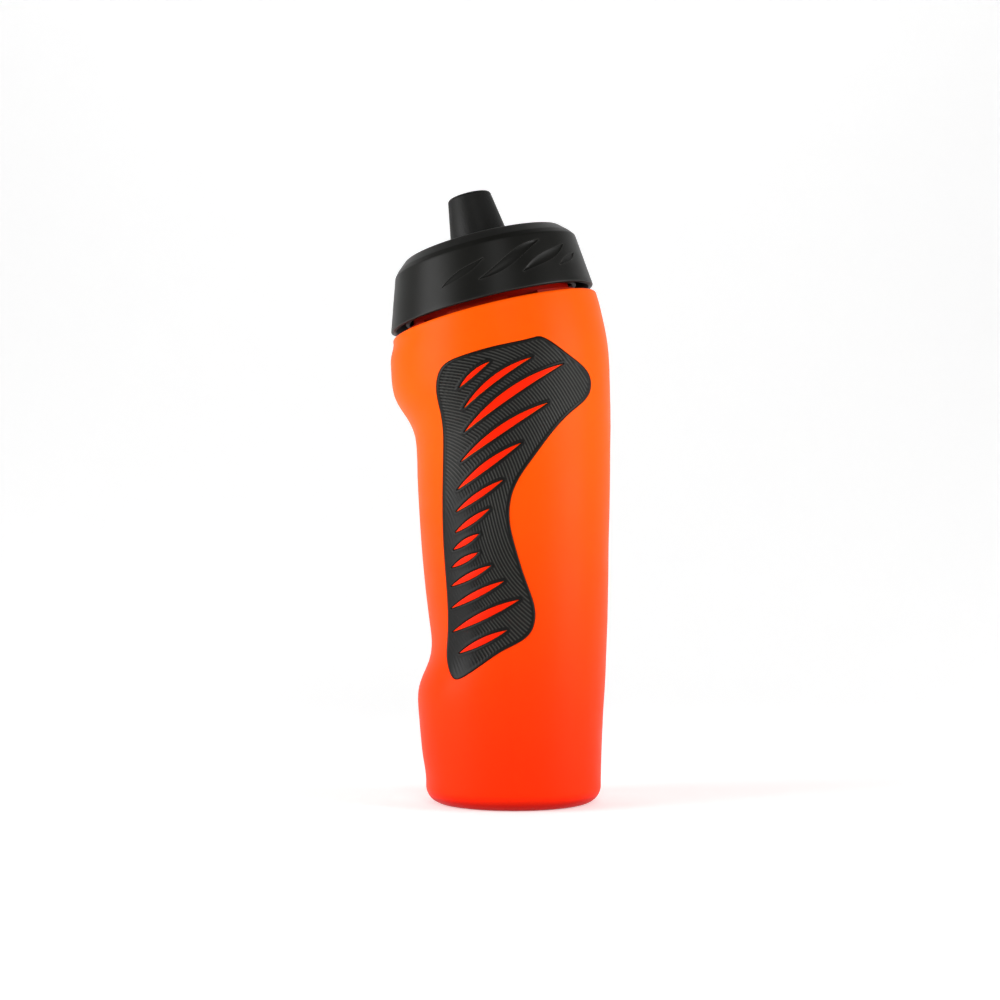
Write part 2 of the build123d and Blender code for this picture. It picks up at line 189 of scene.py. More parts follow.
def body_material():
    made, surface, shader, bump = moulded(
        "orange polyethylene", BODY_COLOUR, BODY_COLOUR, BODY_ROUGHNESS,
        2600.0, 0.02 * MM, 0.05, 0.0,
    )
    nodes, links = made.node_tree.nodes, made.node_tree.links
    shader.inputs["Subsurface Weight"].default_value = 0.15
    shader.inputs["Subsurface Radius"].default_value = (1.0, 0.25, 0.1)
    shader.inputs["Subsurface Scale"].default_value = 2.0 * MM
    shader.inputs["Specular IOR Level"].default_value = 0.05

    position = nodes.new("ShaderNodeTexCoord")
    split = nodes.new("ShaderNodeSeparateXYZ")
    links.new(position.outputs["Object"], split.inputs["Vector"])
    # The colour turns darker and redder from three quarters of the body's height down to the foot.
    low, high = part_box("bottle_body")
    rise = nodes.new("ShaderNodeMapRange")
    rise.interpolation_type = "SMOOTHSTEP"
    rise.inputs["From Min"].default_value = low.z
    rise.inputs["From Max"].default_value = 0.75 * high.z
    links.new(split.outputs["Z"], rise.inputs["Value"])
    blend = nodes.new("ShaderNodeMix")
    blend.data_type = "RGBA"
    blend.inputs["A"].default_value = BODY_FOOT_COLOUR
    blend.inputs["B"].default_value = BODY_COLOUR
    links.new(rise.outputs["Result"], blend.inputs["Factor"])

    # Painted shade: where the AO node finds the body sheltered within 12 mm, as round the neck under the
    # lid, the colour is mixed towards a dark red.
    sheltered = nodes.new("ShaderNodeAmbientOcclusion")
    sheltered.samples = 8
    sheltered.inputs["Distance"].default_value = PAINTED_SHADE_REACH
    depth = nodes.new("ShaderNodeMapRange")
    depth.inputs["From Min"].default_value = 0.25
    depth.inputs["From Max"].default_value = 0.75
    links.new(sheltered.outputs["AO"], depth.inputs["Value"])
    painted_shade = nodes.new("ShaderNodeMix")
    painted_shade.data_type = "RGBA"
    painted_shade.inputs["A"].default_value = BODY_PAINTED_SHADE_COLOUR
    links.new(depth.outputs["Result"], painted_shade.inputs["Factor"])
    links.new(blend.outputs["Result"], painted_shade.inputs["B"])
    links.new(painted_shade.outputs["Result"], surface.inputs["Base Color"])

    off_middle = nodes.new("ShaderNodeMath")
    off_middle.operation = "ABSOLUTE"
    links.new(split.outputs["Y"], off_middle.inputs[0])
    seam = nodes.new("ShaderNodeMapRange")
    seam.interpolation_type = "SMOOTHERSTEP"
    seam.inputs["From Min"].default_value = SEAM_WIDTH
    seam.inputs["From Max"].default_value = 0.0
    links.new(off_middle.outputs[0], seam.inputs["Value"])
    ridge = nodes.new("ShaderNodeBump")
    ridge.inputs["Strength"].default_value = 0.6
    ridge.inputs["Distance"].default_value = SEAM_HEIGHT
    links.new(seam.outputs["Result"], ridge.inputs["Height"])
    links.new(bump.outputs["Normal"], ridge.inputs["Normal"])
    links.new(ridge.outputs["Normal"], shader.inputs["Normal"])
    return made


paint("bottle_body", body_material())

# --- Grip panels --------------------------------------------------------------
# Two black rubber panels bonded into shallow pockets in the body's sides. The
# body shows through their slits. Their faces are moulded in fine ribs that bend
# round the slits, with a plain rounded border.
GRID = 0.25 * MM
EDGE_ROUND = 0.3 * MM
BORDER = 0.75 * MM
RIB_PITCH = 1.05 * MM
RIB_DEPTH = 0.3 * MM
FLOOR_GRID = 2.0 * MM
GRIP_COLOUR = (0.003, 0.003, 0.0027, 1.0)
# The lighter colour of the rib crests and rubbed edges: partly painted highlight, partly wear.
GRIP_CREST_HIGHLIGHT_AND_WEAR_COLOUR = (0.05, 0.05, 0.045, 1.0)

# How the ribs run: at x and z in mm, the angle by which they fall to the back
RIB_RUN = [
    (-24, 144, 1),
    (-24, 132, 2),
    (-22, 123, 22),
    (-20, 113, 50),
    (-18, 152, 8),
    (-10, 155, 18),
    (0, 156, 28),
    (14, 154, 42),
    (20, 146, 58),
    (14, 140, 62),
    (8, 129, 76),
    (-4, 133, 38),
    (-12, 126, 34),
    (-2, 115, 88),
    (-12, 111, 62),
    (-14, 141, 8),
    (-4, 104, 90),
    (-19, 98, 67),
    (-23, 80, 82),
    (-10, 93, 88),
    (-8, 79, 62),
    (-3, 91, 60),
    (2, 79, 22),
    (2, 67, 20),
    (-3, 59, 38),
    (-10, 54, 60),
    (-18, 50, 90),
    (-10, 66, 52),
    (-16, 61, 74),
]


class PanelFace:
    """One face of a panel as a smooth height over x and z, from where rays meet the CAD solid."""

    SPAN_X, SPAN_Z = 8, 20

    def __init__(self, xs, zs, heights, low, high):
        self.low, self.high = low, high
        table = self.terms(xs, zs, self.SPAN_X, self.SPAN_Z)
        self.weights = np.linalg.lstsq(table, heights**2, rcond=None)[0]

    def terms(self, xs, zs, span_x, span_z):
        u = 2 * (xs - self.low.x) / (self.high.x - self.low.x) - 1
        v = 2 * (zs - self.low.z) / (self.high.z - self.low.z) - 1
        return np.polynomial.chebyshev.chebvander2d(u, v, [span_x, span_z])

    def height(self, xs, zs):
        return -np.sqrt(self.terms(xs, zs, self.SPAN_X, self.SPAN_Z) @ self.weights)

    def stretch(self, xs, zs):
        """How much longer a step along Y is than a step square to the face."""
        e = 0.5 * MM
        along_x = (self.height(xs + e, zs) - self.height(xs - e, zs)) / (2 * e)
        along_z = (self.height(xs, zs + e) - self.height(xs, zs - e)) / (2 * e)
        return np.sqrt(1 + along_x**2 + along_z**2)


def rib_phase(face, xs, zs):
    """The ribs as the phase of a wave whose crests run as RIB_RUN says."""
    span_x, span_z = 6, 12
    step = 3 * MM
    gx, gz = np.meshgrid(
        np.arange(face.low.x, face.high.x, step), np.arange(face.low.z, face.high.z, step)
    )
    gx, gz = gx.ravel(), gz.ravel()
    marks = np.array(RIB_RUN, float)
    reach = 9 * MM
    apart = (gx[:, None] - marks[:, 0] * MM) ** 2 + (gz[:, None] - marks[:, 1] * MM) ** 2
    near = np.exp(-apart / (2 * reach**2)) + 1e-12
    run = np.radians(near @ marks[:, 2] / near.sum(axis=1))
    trust = np.sqrt(near.max(axis=1))
    e = 0.1 * MM
    slope_x = face.terms(gx + e, gz, span_x, span_z) - face.terms(gx - e, gz, span_x, span_z)
    slope_z = face.terms(gx, gz + e, span_x, span_z) - face.terms(gx, gz - e, span_x, span_z)
    wave = 2 * math.pi / RIB_PITCH * 2 * e
    rows = np.vstack([slope_x * trust[:, None], slope_z * trust[:, None]])
    aims = np.concatenate([np.sin(run) * wave * trust, np.cos(run) * wave * trust])
    weights = np.linalg.lstsq(rows, aims, rcond=None)[0]
    return face.terms(xs, zs, span_x, span_z) @ weights


def ease(value, start, end):
    """0 before start, 1 after end, and a smooth step between them."""
    share = np.clip((value - start) / (end - start), 0, 1)
    return share * share * (3 - 2 * share)


def rib_strength(xs, zs, to_edge):
    """Ribs fade out at the border and in the plain strip down the front of the lower half."""
    border = ease(to_edge, BORDER, BORDER + 0.5 * MM)
    lower = 1 - ease(zs, 98 * MM, 116 * MM)
    front = 1 - ease(xs, -17 * MM, -9 * MM)
    return border * (1 - 0.8 * lower * front)


def panel_outline_grid(tree, low, high):
    """Which grid points lie on the panel, and the face's height at each."""
    count_x = int((high.x - low.x) / GRID) + 4
    count_z = int((high.z - low.z) / GRID) + 4
    xs = low.x - GRID + GRID * np.arange(count_x)
    zs = low.z - GRID + GRID * np.arange(count_z)
    face = np.full((count_x, count_z), np.nan)
    floor = np.full((count_x, count_z), np.nan)
    outside, inwards = low.y - 10 * MM, Vector((0, 1, 0))
    for i, x in enumerate(xs):
        for j, z in enumerate(zs):
            hit = tree.ray_cast(Vector((x, outside, z)), inwards)[0]
            if hit:
                face[i, j] = hit.y
                if i % 4 == 0 and j % 4 == 0:
                    floor[i, j] = tree.ray_cast(Vector((x, 0, z)), -inwards)[0].y
    return xs, zs, face, floor


def edge_point(tree, on, off, outside):
    """Where the panel's edge crosses the line from a point on it to a point off it."""
    for _ in range(7):
        middle = (on + off) / 2
        if tree.ray_cast(Vector((middle.x, outside, middle.y)), Vector((0, 1, 0)))[0]:
            on = middle
        else:
            off = middle
    return on


def panel_cells(tree, xs, zs, on, outside):
    """The panel's face as flat cells over x and z, cut exactly at its edge."""
    points, faces, index = [], [], {}
    edge = []

    def corner(i, j):
        if (i, j) not in index:
            index[i, j] = len(points)
            points.append(Vector((xs[i], zs[j])))
        return index[i, j]

    def crossing(a, b):
        key = (min(a, b), max(a, b))
        if key not in index:
            first, last = (a, b) if on[a] else (b, a)
            index[key] = len(points)
            edge.append(len(points))
            points.append(
                edge_point(
                    tree,
                    Vector((xs[first[0]], zs[first[1]])),
                    Vector((xs[last[0]], zs[last[1]])),
                    outside,
                )
            )
        return index[key]

    for i in range(len(xs) - 1):
        for j in range(len(zs) - 1):
            ring = [(i, j), (i + 1, j), (i + 1, j + 1), (i, j + 1)]
            if not any(on[c] for c in ring):
                continue
            cell = []
            for a, b in zip(ring, ring[1:] + ring[:1]):
                if on[a]:
                    cell.append(corner(*a))
                if on[a] != on[b]:
                    cell.append(crossing(a, b))
            if len(cell) > 2:
                faces.append(cell)
    return points, faces, edge


def panel_floor(form, rim, floor_face, tree, outside):
    """Closes the panel's back with larger triangles."""
    order = list({v for e in rim for v in e.verts})
    index = {v: k for k, v in enumerate(order)}
    flat = [Vector((v.co.x, v.co.z)) for v in order]
    low_x, high_x = min(p.x for p in flat), max(p.x for p in flat)
    low_z, high_z = min(p.y for p in flat), max(p.y for p in flat)
    around = KDTree(len(flat))
    for k, p in enumerate(flat):
        around.insert((p.x, p.y, 0), k)
    around.balance()
    extra = []
    for x in np.arange(low_x, high_x, FLOOR_GRID):
        for z in np.arange(low_z, high_z, FLOOR_GRID):
            here = tree.ray_cast(Vector((x, outside, z)), Vector((0, 1, 0)))[0]
            if here and around.find((x, z, 0))[2] > 0.4 * FLOOR_GRID:
                extra.append(Vector((x, z)))
    edges = [(index[e.verts[0]], index[e.verts[1]]) for e in rim]
    made = geometry.delaunay_2d_cdt(flat + extra, edges, [], 1, 1e-9)
    corners = []
    for point, source in zip(made[0], made[3]):
        ours = [k for k in source if k < len(order)]
        if ours:
            corners.append(order[ours[0]])
        else:
            y = float(floor_face.height(np.array([point.x]), np.array([point.y]))[0])
            corners.append(form.verts.new((point.x, y, point.y)))
    for triangle in made[2]:
        middle = sum((made[0][k] for k in triangle), Vector((0, 0))) / 3
        if tree.ray_cast(Vector((middle.x, outside, middle.y)), Vector((0, 1, 0)))[0]:
            chosen = [corners[k] for k in triangle]
            if len(set(chosen)) == 3 and not form.faces.get(chosen):
                form.faces.new(chosen)


def smooth(mesh, degrees):
    """Smooth shading, with a hard line wherever the surface turns by more than degrees."""
    mesh.polygons.foreach_set("use_smooth", [True] * len(mesh.polygons))
    mesh.set_sharp_from_angle(angle=math.radians(degrees))
    mesh.update()


def panel_mesh(node):
    """The near panel, built over the CAD solid's outline and faces."""
    source = frame["nodes"][node].data
    tree = BVHTree.FromPolygons(
        [v.co.copy() for v in source.vertices], [tuple(p.vertices) for p in source.polygons]
    )
    low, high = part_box(node)
    outside = low.y - 10 * MM
    xs, zs, tops, floors = panel_outline_grid(tree, low, high)
    gx, gz = np.meshgrid(xs, zs, indexing="ij")
    on = ~np.isnan(tops)
    sample = on & (np.add.outer(np.arange(len(xs)), np.arange(len(zs))) % 5 == 0)
    face = PanelFace(gx[sample], gz[sample], tops[sample], low, high)
    below = ~np.isnan(floors)
    floor_face = PanelFace(gx[below], gz[below], floors[below], low, high)

    points, cells, edge = panel_cells(tree, xs, zs, on, outside)
    around = KDTree(len(edge))
    for k in edge:
        around.insert((points[k].x, points[k].y, 0), k)
    around.balance()
    to_edge = np.array([around.find((p.x, p.y, 0))[2] for p in points])
    px = np.array([p.x for p in points])
    pz = np.array([p.y for p in points])
    inset = np.clip(EDGE_ROUND - to_edge, 0, EDGE_ROUND)
    drop = EDGE_ROUND - np.sqrt(EDGE_ROUND**2 - inset**2)
    wave = 0.5 - 0.5 * np.cos(rib_phase(face, px, pz))
    strength = rib_strength(px, pz, to_edge)
    drop = drop + RIB_DEPTH * wave * strength
    py = face.height(px, pz) + drop * face.stretch(px, pz)

    form = bmesh.new()
    # The crest attribute marks the rib tops, where the grip material paints a lighter colour as highlight
    # and wear.
    crest = form.verts.layers.float.new("crest")
    corners = [form.verts.new(c) for c in zip(px, py, pz)]
    for corner, height in zip(corners, (1 - wave) * strength):
        corner[crest] = height
    for cell in cells:
        form.faces.new([corners[k] for k in cell])
    bmesh.ops.remove_doubles(form, verts=form.verts, dist=0.03 * MM)
    rim = [e for e in form.edges if e.is_boundary]
    wall = bmesh.ops.extrude_edge_only(form, edges=rim)["geom"]
    foot = [v for v in wall if isinstance(v, bmesh.types.BMVert)]
    fx = np.array([v.co.x for v in foot])
    fz = np.array([v.co.z for v in foot])
    for v, y in zip(foot, floor_face.height(fx, fz)):
        v.co.y = y
    foot_rim = [e for e in wall if isinstance(e, bmesh.types.BMEdge) and e.is_boundary]
    panel_floor(form, foot_rim, floor_face, tree, outside)
    bmesh.ops.recalc_face_normals(form, faces=form.faces)
    mesh = bpy.data.meshes.new(node)
    form.to_mesh(mesh)
    form.free()
    smooth(mesh, 50)
    return mesh


def place(name, mesh, material, body, replaced):
    """Puts a new piece in the scene, on its body, in place of its CAD node if it has one."""
    piece = bpy.data.objects.new(name, mesh)
    bpy.context.collection.objects.link(piece)
    mesh.materials.append(material)
    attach(piece, body)
    if replaced:
        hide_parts(replaced)
    return piece


def grip_material():
    made, surface, shader, _ = moulded(
        "black grip rubber", GRIP_COLOUR, GRIP_CREST_HIGHLIGHT_AND_WEAR_COLOUR, 0.42,
        5200.0, 0.015 * MM, 0.25, 0.2,
    )
    shader.inputs["Specular IOR Level"].default_value = 0.13
    nodes, links = made.node_tree.nodes, made.node_tree.links
    # Painted highlight and wear: the rib crests are painted lighter, partly for the gloss on the crests
    # and partly for rubbed wear.
    crest = nodes.new("ShaderNodeAttribute")
    crest.attribute_name = "crest"
    sharper = nodes.new("ShaderNodeMath")
    sharper.operation = "POWER"
    sharper.inputs[1].default_value = 2.5
    links.new(crest.outputs["Fac"], sharper.inputs[0])
    crest_highlight_and_wear = nodes.new("ShaderNodeMix")
    crest_highlight_and_wear.data_type = "RGBA"
    crest_highlight_and_wear.inputs["A"].default_value = GRIP_COLOUR
    crest_highlight_and_wear.inputs["B"].default_value = GRIP_CREST_HIGHLIGHT_AND_WEAR_COLOUR
    links.new(sharper.outputs[0], crest_highlight_and_wear.inputs["Factor"])
    links.new(crest_highlight_and_wear.outputs["Result"], surface.inputs["Base Color"])
    return made


near_panel = panel_mesh("left_grip")
far_panel = near_panel.copy()
far_panel.transform(Matrix.Scale(-1, 4, Vector((0, 1, 0))))
far_panel.flip_normals()
rubber = grip_material()
place("ribbed_grip_left", near_panel, rubber, "bottle", "left_grip")
place("ribbed_grip_right", far_panel, rubber, "bottle", "right_grip")

# --- Leaves -------------------------------------------------------------------
# The parts of the body that show through the panels' slits: low, slightly domed
# leaves of the same polyethylene. Their colour is a darker red than the body's,
# painted shade for the slits between the black walls.
LEAF_PAINTED_SHADE_COLOUR = (1.0, 0.014, 0.0005, 1.0)
LEAF_MARGIN = 0.22 * MM
LEAF_RISE = 0.12 * MM
LEAF_GRID = 0.5 * MM
LEAF_ROUND = 0.8 * MM
LEAF_PROUD = 0.02 * MM
LEAF_SINK = 0.3 * MM
LEAST_WALL = 0.6 * MM


def rim_loops(mesh):
    """The panel's edge loops at its foot, longest first, as lists of x and z."""
    form = bmesh.new()
    form.from_mesh(mesh)
    form.verts.ensure_lookup_table()
    upright = []
    for f in form.faces:
        heights = [v.co.y for v in f.verts]
        if abs(f.normal.y) < 0.02 and max(heights) - min(heights) > LEAST_WALL:
            upright.append(f)
    after = {}
    for f in upright:
        feet = sorted(f.verts, key=lambda v: v.co.y)[-2:]
        for a, b in (feet, feet[::-1]):
            after.setdefault(a, []).append(b)
    loops, seen = [], set()
    for first in after:
        if first in seen:
            continue
        loop, here = [], first
        while here is not None:
            seen.add(here)
            loop.append(Vector((here.co.x, here.co.z)))
            here = next((v for v in after[here] if v not in seen), None)
        loops.append(loop)
    form.free()
    return sorted(loops, key=len, reverse=True)


def leaf_form(form, loop, tree):
    """One leaf: its loop drawn in a little, then domed over the body."""
    area = sum(a.x * b.y - b.x * a.y for a, b in zip(loop, loop[1:] + loop[:1]))
    turn = 1 if area > 0 else -1
    inner = []
    for before, here, after in zip(loop[-1:] + loop[:-1], loop, loop[1:] + loop[:1]):
        run = (after - before).normalized()
        inner.append(here + Vector((-run.y, run.x)) * turn * LEAF_MARGIN)
    around = KDTree(len(inner))
    for k, p in enumerate(inner):
        around.insert((p.x, p.y, 0), k)
    around.balance()
    extra = []
    for x in np.arange(min(p.x for p in inner), max(p.x for p in inner), LEAF_GRID):
        for z in np.arange(min(p.y for p in inner), max(p.y for p in inner), LEAF_GRID):
            if around.find((x, z, 0))[2] > 0.4 * LEAF_GRID:
                extra.append(Vector((x, z)))
    count = len(inner)
    edges = [(k, (k + 1) % count) for k in range(count)]
    made = geometry.delaunay_2d_cdt(inner + extra, edges, [], 1, 1e-9)
    outside = -60 * MM
    corners = []
    for p in made[0]:
        top = tree.ray_cast(Vector((p.x, outside, p.y)), Vector((0, 1, 0)))[0]
        rise = LEAF_RISE * min(1.0, around.find((p.x, p.y, 0))[2] / LEAF_ROUND) + LEAF_PROUD
        corners.append(form.verts.new((p.x, top.y - rise, p.y)))
    for triangle in made[2]:
        form.faces.new([corners[k] for k in triangle])


def leaves_mesh(panel):
    """The leaves behind one panel. Their edges sink into the body, and they are open underneath."""
    body = frame["nodes"]["bottle_body"].data
    tree = BVHTree.FromPolygons(
        [v.co.copy() for v in body.vertices], [tuple(p.vertices) for p in body.polygons]
    )
    form = bmesh.new()
    for loop in rim_loops(panel)[1:]:
        leaf_form(form, loop, tree)
    bmesh.ops.recalc_face_normals(form, faces=form.faces)
    rim = [e for e in form.edges if e.is_boundary]
    wall = bmesh.ops.extrude_edge_only(form, edges=rim)["geom"]
    for v in wall:
        if isinstance(v, bmesh.types.BMVert):
            v.co.y += LEAF_SINK
    mesh = bpy.data.meshes.new("leaves")
    form.to_mesh(mesh)
    form.free()
    smooth(mesh, 50)
    return mesh


# Painted shade: the leaves take a darker red than the body, for the shade in the slits.
leaf_shaded_look, _, leaf_shader, _ = moulded(
    "leaf polyethylene", LEAF_PAINTED_SHADE_COLOUR, LEAF_PAINTED_SHADE_COLOUR, 0.5, 2600.0, 0.02 * MM, 0.08, 0.0
)
leaf_shader.inputs["Specular IOR Level"].default_value = 0.05
near_leaves = leaves_mesh(near_panel)
far_leaves = near_leaves.copy()
far_leaves.transform(Matrix.Scale(-1, 4, Vector((0, 1, 0))))
far_leaves.flip_normals()
place("leaves_left", near_leaves, leaf_shaded_look, "bottle", None)
place("leaves_right", far_leaves, leaf_shaded_look, "bottle", None)

# --- Gasket -------------------------------------------------------------------
# A flat ring of pale silicone, cut from a moulded sheet. It lies loose on the
# mouth of the neck, where the lid's seat presses it down and seals.
GASKET_COLOUR = (0.55, 0.55, 0.53, 1)
GASKET_RUBBED_COLOUR = (0.65, 0.65, 0.63, 1)
gasket_look, _, _, _ = moulded(
    "gasket silicone", GASKET_COLOUR, GASKET_RUBBED_COLOUR, 0.5, 3000.0, 0.01 * MM, 0.1, 0.2
)
paint("lid_gasket", gasket_look)

# --- Lid ----------------------------------------------------------------------
# One injection moulding of hard black polypropylene: an outer skirt with leaves
# pressed into it, a bevelled deck, and a threaded skirt inside that screws on to
# the neck. Its finish is a fine satin spark grain, rubbed brighter on the edges.
LID_COLOUR = (0.006, 0.006, 0.0052, 1.0)
LID_RUBBED_COLOUR = (0.06, 0.06, 0.055, 1.0)
AROUND = 256
LEAF_EDGE_DEPTH, LEAF_DEPTH = 0.12, 0.34
LONGEST_RUN = 1.4

lid_joint = next(j for j in frame["record"]["behaviour"]["joints"] if j["name"] == "lid_turn")
LID_MIDDLE = Vector(lid_joint["pos_m"])
LID_AXIS = Vector(lid_joint["axis"]).normalized()
LID_BACK = Vector((0, 1, 0)).cross(LID_AXIS)
LID_FRAME = Matrix.Translation(LID_MIDDLE) @ Matrix((LID_BACK, (0, 1, 0), LID_AXIS)).transposed().to_4x4()

RIM_RADIUS = 37.0
TOP_SET_BACK, NOZZLE_SET_BACK = 2.0, 1.5
SKIRT_TOP, SKIRT_TOP_RADIUS = 18.6, 33.0
CREASE, CREASE_RADIUS = 20.3, 31.6
DECK, DECK_RADIUS, CROWN = 23.4, 28.2, 24.0
CEILING = 21.4
MOAT_OUTER, MOAT_INNER, MOAT_FLOOR = 14.2, 12.8, 23.1
HOLE_RADIUS = 6.2
SEAT_INNER, SEAT = 24.4, 16.6
LINER_INNER, LINER_OUTER, LINER_FOOT = 29.8, 31.1, 1.4
GAP_TOP, GAP_TOP_RADIUS, GAP_FOOT_RADIUS = 12.0, 32.62, 35.2
THREAD_LEAD, THREAD_STARTS, THREAD_TURNS, THREAD_FOOT = 10.0, 2, 0.6, 2.6
THREAD_DEPTH, THREAD_ROOT, THREAD_BURIED = 1.2, 1.2, 0.3
THREAD_CREST, THREAD_STEPS = 0.5, 60
LEAF_STEPS = 28

# The section of the lid, round the outside from the rim and back inside:
# radius, height, how far it is set back, corner radius
LID_SECTION = [
    (RIM_RADIUS, 0, 0, 0.5),
    (SKIRT_TOP_RADIUS, SKIRT_TOP, TOP_SET_BACK, 1.6),
    (CREASE_RADIUS, CREASE, TOP_SET_BACK, 0.12),
    (DECK_RADIUS, DECK, TOP_SET_BACK, 1.4),
    (MOAT_OUTER, CROWN, NOZZLE_SET_BACK, 0.35),
    (MOAT_OUTER, MOAT_FLOOR, NOZZLE_SET_BACK, 0.25),
    (MOAT_INNER, MOAT_FLOOR, NOZZLE_SET_BACK, 0.25),
    (MOAT_INNER, CROWN, NOZZLE_SET_BACK, 0.1),
    (HOLE_RADIUS, CROWN, NOZZLE_SET_BACK, 0.1),
    (HOLE_RADIUS, CEILING, NOZZLE_SET_BACK, 0.1),
    (SEAT_INNER, CEILING, 0, 0.4),
    (SEAT_INNER, SEAT, 0, 0.2),
    (LINER_INNER, SEAT, 0, 0.3),
    (LINER_INNER, LINER_FOOT, 0, 0.3),
    (LINER_OUTER, LINER_FOOT, 0, 0.3),
    (LINER_OUTER, GAP_TOP, 0, 0.05),
    (GAP_TOP_RADIUS, GAP_TOP, TOP_SET_BACK * GAP_TOP / SKIRT_TOP, 0.05),
    (GAP_FOOT_RADIUS, 0, 0, 0.3),
]

# The leaves on the near side: angle round the lid and height of the front tip,
# the same of the back tip, width, bow of the middle line
LID_LEAVES = [
    ((-118, 6.9), (-92, 13.2), 2.6, 0.2),
    ((-96, 6.2), (-56, 16.0), 3.6, -0.5),
    ((-71, 5.6), (-37, 13.8), 3.4, 0.3),
    ((-46, 6.2), (-28, 10.6), 2.2, 0.2),
]


def rounded(section):
    """The section with its corners turned into arcs."""
    points = []
    for k, corner in enumerate(section):
        here, radius = Vector(corner[:3]), corner[3]
        before, after = Vector(section[k - 1][:3]), Vector(section[(k + 1) % len(section)][:3])
        to_before, to_after = before - here, after - here
        turn = math.pi - to_before.xy.angle(to_after.xy)
        cut = radius * math.tan(turn / 2)
        start = here + to_before * (cut / to_before.xy.length)
        end = here + to_after * (cut / to_after.xy.length)
        for step in range(7):
            t = step / 6
            points.append(start * (1 - t) ** 2 + here * 2 * t * (1 - t) + end * t**2)
    return shortened(points)


def shortened(points):
    """The same section with its long runs split, so that the leaves cut small faces."""
    fine = []
    for here, after in zip(points, points[1:] + points[:1]):
        parts = max(1, math.ceil((after - here).length / LONGEST_RUN))
        fine += [here.lerp(after, k / parts) for k in range(parts)]
    return fine


def turned(section, around):
    """A closed section swept round the lid's axis, as a form in millimetres."""
    form = bmesh.new()
    rings = []
    for k in range(around):
        angle = 2 * math.pi * k / around
        rings.append([
            form.verts.new(
                (r * math.cos(angle) + back, r * math.sin(angle), h)
            )
            for r, h, back in section
        ])
    count = len(section)
    for k, ring in enumerate(rings):
        after = rings[(k + 1) % around]
        for j in range(count):
            form.faces.new((ring[j], after[j], after[(j + 1) % count], ring[(j + 1) % count]))
    return form


def add_bar(form, sections):
    """A closed bar through a list of sections with the same number of corners."""
    rings = [[form.verts.new(p) for p in section] for section in sections]
    count = len(sections[0])
    for first, last in zip(rings, rings[1:]):
        for j in range(count):
            k = (j + 1) % count
            form.faces.new((first[j], first[k], last[k], last[j]))
    form.faces.new(rings[0][::-1])
    form.faces.new(rings[-1])


def add_thread(form, start_angle):
    """One start of the thread on the wall inside the lid."""
    sections = []
    for k in range(THREAD_STEPS + 1):
        turn = THREAD_TURNS * k / THREAD_STEPS
        angle = start_angle + 2 * math.pi * turn
        height = THREAD_FOOT + THREAD_LEAD * turn
        deep = THREAD_DEPTH * min(1, k / 3 + 0.05, (THREAD_STEPS - k) / 3 + 0.05)
        sections.append([
            (r * math.cos(angle), r * math.sin(angle), height + side)
            for r, side in (
                (LINER_INNER + THREAD_BURIED, -THREAD_ROOT),
                (LINER_INNER - deep, -THREAD_CREST),
                (LINER_INNER - deep, THREAD_CREST),
                (LINER_INNER + THREAD_BURIED, THREAD_ROOT),
            )
        ])
    add_bar(form, sections)


def skirt_point(angle, height, out):
    """A point on the skirt, or out from it, in the lid's own frame."""
    share = height / SKIRT_TOP
    radius = RIM_RADIUS + (SKIRT_TOP_RADIUS - RIM_RADIUS) * share + out
    return (
        radius * math.cos(angle) + share * TOP_SET_BACK,
        radius * math.sin(angle),
        height,
    )


def add_leaf(form, front, back, width, bow, side):
    """The tool that presses one leaf into the skirt."""
    sections = []
    radius = (RIM_RADIUS + SKIRT_TOP_RADIUS) / 2
    run = Vector((math.radians(back[0] - front[0]) * radius, back[1] - front[1]))
    across = Vector((-run.y, run.x)).normalized()
    for k in range(LEAF_STEPS + 1):
        t = k / LEAF_STEPS
        middle = run * t + across * bow * math.sin(2 * math.pi * t)
        half = max(width / 2 * math.sin(math.pi * t) ** 0.8, 0.04)
        section = []
        for edge, out in (
            (-1, -LEAF_EDGE_DEPTH), (-0.4, -LEAF_DEPTH), (0.4, -LEAF_DEPTH),
            (1, -LEAF_EDGE_DEPTH), (1, 2), (-1, 2),
        ):
            spot = middle + across * half * edge
            angle = math.radians(front[0]) + spot.x / radius
            section.append(skirt_point(side * angle, front[1] + spot.y, out))
        sections.append(section)
    add_bar(form, sections)


def cut(mesh, tool):
    """The mesh with the tool's form taken out of it."""
    work = bpy.data.objects.new("work", mesh)
    cutter = bpy.data.objects.new("cutter", tool)
    bpy.context.collection.objects.link(work)
    bpy.context.collection.objects.link(cutter)
    modifier = work.modifiers.new("cut", "BOOLEAN")
    modifier.operation = "DIFFERENCE"
    modifier.solver = "EXACT"
    modifier.object = cutter
    view = bpy.context.evaluated_depsgraph_get()
    done = bpy.data.meshes.new_from_object(work.evaluated_get(view))
    bpy.data.objects.remove(work)
    bpy.data.objects.remove(cutter)
    return done


def to_mesh(form, name):
    """The form as a mesh whose faces all look outwards."""
    bmesh.ops.recalc_face_normals(form, faces=form.faces)
    mesh = bpy.data.meshes.new(name)
    form.to_mesh(mesh)
    form.free()
    return mesh


def lid_mesh():
    """The turned blank with the leaves pressed in and the thread added, in its place on the neck."""
    blank = to_mesh(turned(rounded(LID_SECTION), AROUND), "lid")
    tools = bmesh.new()
    for front, back, width, bow in LID_LEAVES:
        for side in (1, -1):
            add_leaf(tools, front, back, width, bow, side)
    pressed = cut(blank, to_mesh(tools, "leaves"))
    form = bmesh.new()
    form.from_mesh(pressed)
    for k in range(THREAD_STARTS):
        add_thread(form, 2 * math.pi * k / THREAD_STARTS)
    mesh = to_mesh(form, "lid")
    mesh.transform(LID_FRAME @ Matrix.Scale(MM, 4))
    smooth(mesh, 28)
    return mesh


